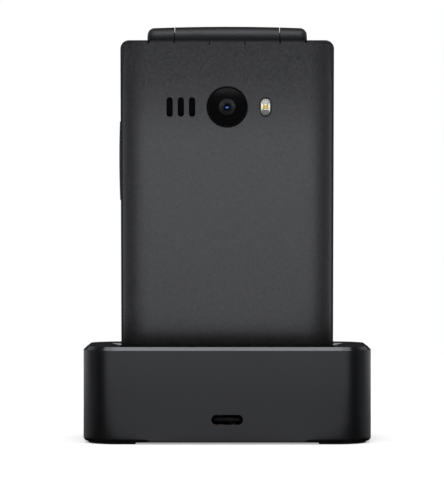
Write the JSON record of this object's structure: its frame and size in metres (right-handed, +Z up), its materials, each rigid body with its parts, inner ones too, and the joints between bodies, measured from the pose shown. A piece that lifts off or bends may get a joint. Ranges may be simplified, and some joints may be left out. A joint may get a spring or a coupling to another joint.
{
  "type": "flip phone with charging dock",
  "caption": "Closed flip phone leaning in its charging dock, with a hinged lid, a pressable keypad, a volume rocker and a USB-C port in the dock's back.",
  "frame": {"origin": "on the table, at the middle of the dock's footprint, under its feet", "axes": "+Z up; -Y towards the side with the phone's camera and the dock's USB-C port, +Y towards the lid; +X to the right as seen from -Y"},
  "size_m": [0.0768, 0.0392, 0.1111],
  "materials": {
    "cover_plastic": "dark grey, fine matt grain",
    "frame_plastic": "dark grey, satin",
    "deck_plastic": "near-black, satin",
    "silicone": "translucent grey silicone",
    "circuit_board": "green solder mask",
    "battery_wrap": "matt film over a metal can",
    "camera_trim": "black, polished edge",
    "camera_glass": "dark clear glass",
    "camera_body": "black",
    "flash_lens": "clear ribbed plastic",
    "flash_led": "yellow phosphor on a white carrier",
    "mesh_cloth": "black woven dust mesh",
    "speaker_case": "black",
    "rocker_plastic": "dark grey, satin",
    "socket_steel": "bright steel",
    "socket_tongue": "black, with gold contacts",
    "gold_contacts": "gold plated",
    "motor_steel": "drawn steel can",
    "hinge_steel": "steel",
    "screw_steel": "blackened steel",
    "lid_plastic": "dark grey, fine matt grain",
    "bezel_plastic": "near-black, satin",
    "display_glass": "clear cover glass, black border",
    "display_panel": "display panel, off",
    "outer_window_glass": "dark clear window",
    "magnet_metal": "nickel plated",
    "bumper_rubber": "dark grey rubber",
    "dock_plastic": "dark grey, fine matt texture",
    "dock_base_plastic": "dark grey, matt",
    "foot_rubber": "black rubber",
    "weight_steel": "zinc plated plate",
    "pin_block_plastic": "black",
    "key_plastic": "dark grey keys with white legends",
    "call_key_plastic": "dark grey key with a green mark",
    "end_key_plastic": "dark grey key with a red mark",
    "nav_plastic": "satin dark grey"
  },
  "bodies": {
    "dock": {"dock_shell": "dock_plastic", "dock_base": "dock_base_plastic", "dock_feet": "foot_rubber", "dock_screws": "screw_steel", "dock_board": "circuit_board", "dock_usb_shell": "socket_steel", "dock_usb_tongue": "socket_tongue", "dock_weight": "weight_steel", "dock_pin_block": "pin_block_plastic"},
    "phone_base": {"rear_cover": "cover_plastic", "base_frame": "frame_plastic", "keypad_deck": "deck_plastic", "key_mat": "silicone", "main_board": "circuit_board", "battery": "battery_wrap", "camera_ring": "camera_trim", "camera_glass": "camera_glass", "camera_module": "camera_body", "flash_lens": "flash_lens", "flash_led": "flash_led", "speaker_mesh": "mesh_cloth", "loudspeaker": "speaker_case", "phone_usb_socket": "socket_steel", "charge_contacts": "gold_contacts", "vibration_motor": "motor_steel", "hinge_cam": "hinge_steel", "hinge_pin": "hinge_steel", "base_screws": "screw_steel"},
    "lid": {"lid_cover": "lid_plastic", "lid_bezel": "bezel_plastic", "main_glass": "display_glass", "main_lcd": "display_panel", "outer_window": "outer_window_glass", "outer_lcd": "display_panel", "earpiece": "speaker_case", "lid_magnet": "magnet_metal", "lid_bumpers": "bumper_rubber", "lid_screws": "screw_steel"},
    "volume_rocker": {"volume_rocker": "rocker_plastic"},
    "dock_pin_left": {"dock_pin_left": "gold_contacts"},
    "dock_pin_right": {"dock_pin_right": "gold_contacts"},
    "key_star": {"key_star": "key_plastic"},
    "key_0": {"key_0": "key_plastic"},
    "key_hash": {"key_hash": "key_plastic"},
    "key_7": {"key_7": "key_plastic"},
    "key_8": {"key_8": "key_plastic"},
    "key_9": {"key_9": "key_plastic"},
    "key_4": {"key_4": "key_plastic"},
    "key_5": {"key_5": "key_plastic"},
    "key_6": {"key_6": "key_plastic"},
    "key_1": {"key_1": "key_plastic"},
    "key_2": {"key_2": "key_plastic"},
    "key_3": {"key_3": "key_plastic"},
    "key_clear": {"key_clear": "key_plastic"},
    "key_call": {"key_call": "call_key_plastic"},
    "key_end": {"key_end": "end_key_plastic"},
    "key_soft_left": {"key_soft_left": "key_plastic"},
    "key_soft_right": {"key_soft_right": "key_plastic"},
    "nav_ring": {"nav_ring": "nav_plastic"},
    "ok_key": {"ok_key": "nav_plastic"}
  },
  "joints": [
    {"name": "phone_lift", "type": "slide", "parent": "dock", "child": "phone_base", "axis": [0, -0.0785, 0.9969], "range_m": [0, 0.03]},
    {"name": "lid_hinge", "type": "hinge", "parent": "phone_base", "child": "lid", "pos_m": [0, -0.00984, 0.10658], "axis": [1, 0, 0], "range_deg": [0, 160]},
    {"name": "volume_rocker_tilt", "type": "hinge", "parent": "phone_base", "child": "volume_rocker", "pos_m": [-0.02685, -0.01078, 0.07521], "axis": [0, 0.9969, 0.0785], "range_deg": [-2, 2], "stiffness_Nm_per_rad": 0.4},
    {"name": "dock_pin_left_press", "type": "slide", "parent": "dock", "child": "dock_pin_left", "axis": [0, 0.0785, -0.9969], "range_m": [0, 0.0008], "stiffness_N_per_m": 600},
    {"name": "dock_pin_right_press", "type": "slide", "parent": "dock", "child": "dock_pin_right", "axis": [0, 0.0785, -0.9969], "range_m": [0, 0.0008], "stiffness_N_per_m": 600},
    {"name": "key_star_press", "type": "slide", "parent": "phone_base", "child": "key_star", "axis": [0, -0.9969, -0.0785], "range_m": [0, 0.0003], "stiffness_N_per_m": 3000},
    {"name": "key_0_press", "type": "slide", "parent": "phone_base", "child": "key_0", "axis": [0, -0.9969, -0.0785], "range_m": [0, 0.0003], "stiffness_N_per_m": 3000},
    {"name": "key_hash_press", "type": "slide", "parent": "phone_base", "child": "key_hash", "axis": [0, -0.9969, -0.0785], "range_m": [0, 0.0003], "stiffness_N_per_m": 3000},
    {"name": "key_7_press", "type": "slide", "parent": "phone_base", "child": "key_7", "axis": [0, -0.9969, -0.0785], "range_m": [0, 0.0003], "stiffness_N_per_m": 3000},
    {"name": "key_8_press", "type": "slide", "parent": "phone_base", "child": "key_8", "axis": [0, -0.9969, -0.0785], "range_m": [0, 0.0003], "stiffness_N_per_m": 3000},
    {"name": "key_9_press", "type": "slide", "parent": "phone_base", "child": "key_9", "axis": [0, -0.9969, -0.0785], "range_m": [0, 0.0003], "stiffness_N_per_m": 3000},
    {"name": "key_4_press", "type": "slide", "parent": "phone_base", "child": "key_4", "axis": [0, -0.9969, -0.0785], "range_m": [0, 0.0003], "stiffness_N_per_m": 3000},
    {"name": "key_5_press", "type": "slide", "parent": "phone_base", "child": "key_5", "axis": [0, -0.9969, -0.0785], "range_m": [0, 0.0003], "stiffness_N_per_m": 3000},
    {"name": "key_6_press", "type": "slide", "parent": "phone_base", "child": "key_6", "axis": [0, -0.9969, -0.0785], "range_m": [0, 0.0003], "stiffness_N_per_m": 3000},
    {"name": "key_1_press", "type": "slide", "parent": "phone_base", "child": "key_1", "axis": [0, -0.9969, -0.0785], "range_m": [0, 0.0003], "stiffness_N_per_m": 3000},
    {"name": "key_2_press", "type": "slide", "parent": "phone_base", "child": "key_2", "axis": [0, -0.9969, -0.0785], "range_m": [0, 0.0003], "stiffness_N_per_m": 3000},
    {"name": "key_3_press", "type": "slide", "parent": "phone_base", "child": "key_3", "axis": [0, -0.9969, -0.0785], "range_m": [0, 0.0003], "stiffness_N_per_m": 3000},
    {"name": "key_clear_press", "type": "slide", "parent": "phone_base", "child": "key_clear", "axis": [0, -0.9969, -0.0785], "range_m": [0, 0.0003], "stiffness_N_per_m": 3000},
    {"name": "key_call_press", "type": "slide", "parent": "phone_base", "child": "key_call", "axis": [0, -0.9969, -0.0785], "range_m": [0, 0.0003], "stiffness_N_per_m": 3000},
    {"name": "key_end_press", "type": "slide", "parent": "phone_base", "child": "key_end", "axis": [0, -0.9969, -0.0785], "range_m": [0, 0.0003], "stiffness_N_per_m": 3000},
    {"name": "key_soft_left_press", "type": "slide", "parent": "phone_base", "child": "key_soft_left", "axis": [0, -0.9969, -0.0785], "range_m": [0, 0.0003], "stiffness_N_per_m": 3000},
    {"name": "key_soft_right_press", "type": "slide", "parent": "phone_base", "child": "key_soft_right", "axis": [0, -0.9969, -0.0785], "range_m": [0, 0.0003], "stiffness_N_per_m": 3000},
    {"name": "nav_ring_press", "type": "slide", "parent": "phone_base", "child": "nav_ring", "axis": [0, -0.9969, -0.0785], "range_m": [0, 0.0003], "stiffness_N_per_m": 3000},
    {"name": "ok_key_press", "type": "slide", "parent": "phone_base", "child": "ok_key", "axis": [0, -0.9969, -0.0785], "range_m": [0, 0.0003], "stiffness_N_per_m": 3000}
  ]
}
